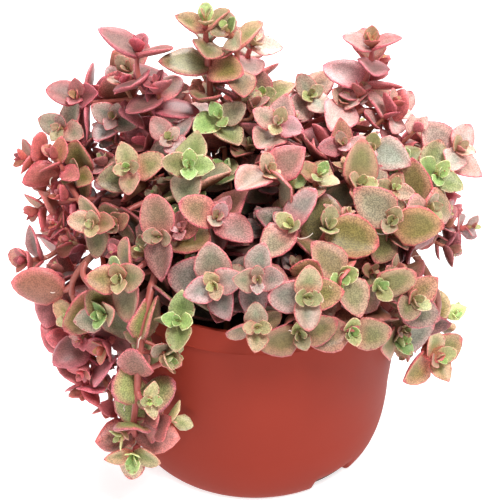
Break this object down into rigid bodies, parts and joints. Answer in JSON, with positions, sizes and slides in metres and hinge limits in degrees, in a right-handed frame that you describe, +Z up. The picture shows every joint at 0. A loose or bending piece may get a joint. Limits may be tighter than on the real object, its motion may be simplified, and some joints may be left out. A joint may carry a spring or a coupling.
{
  "type": "potted trailing crassula",
  "caption": "Mounded, trailing succulent with paired heart-shaped leaves on thin red stems, in a round, lightly tapered nursery pot.",
  "frame": {"origin": "on the plane that the pot's foot stands on, under the middle of the whole plant's width and depth", "axes": "+Z up, -Y towards the viewer, where the longest stem hangs over the rim, +X to the viewer's right"},
  "size_m": [0.1601, 0.1313, 0.1573],
  "materials": {
    "pot_plastic": "satin moulded polypropylene",
    "soil_mix": "loose moist peat and bark, matt",
    "leaf": "fleshy leaf and stem, satin"
  },
  "bodies": {
    "root": {"pot": "pot_plastic", "soil": "soil_mix", "stem_back_leaner": "leaf", "stem_bright": "leaf", "stem_bright_front": "leaf", "stem_bright_right": "leaf", "stem_broad_right": "leaf", "stem_centre_low": "leaf", "stem_crest_left": "leaf", "stem_crest_right": "leaf", "stem_crown": "leaf", "stem_dark_left": "leaf", "stem_fork": "leaf", "stem_four_leaf": "leaf", "stem_front_low": "leaf", "stem_front_star": "leaf", "stem_green_bud": "leaf", "stem_grey": "leaf", "stem_leaner": "leaf", "stem_left_brow": "leaf", "stem_left_crown": "leaf", "stem_left_edge": "leaf", "stem_left_green": "leaf", "stem_left_low": "leaf", "stem_left_low_edge": "leaf", "stem_low_green": "leaf", "stem_mauve": "leaf", "stem_middle_low": "leaf", "stem_mound_8": "leaf", "stem_mound_9": "leaf", "stem_oval_right": "leaf", "stem_plum_hang": "leaf", "stem_plum_top": "leaf", "stem_right_crown": "leaf", "stem_right_low": "leaf", "stem_right_side": "leaf", "stem_right_spire": "leaf", "stem_small_green": "leaf", "stem_spire": "leaf", "stem_trailer": "leaf"}
  },
  "joints": []
}
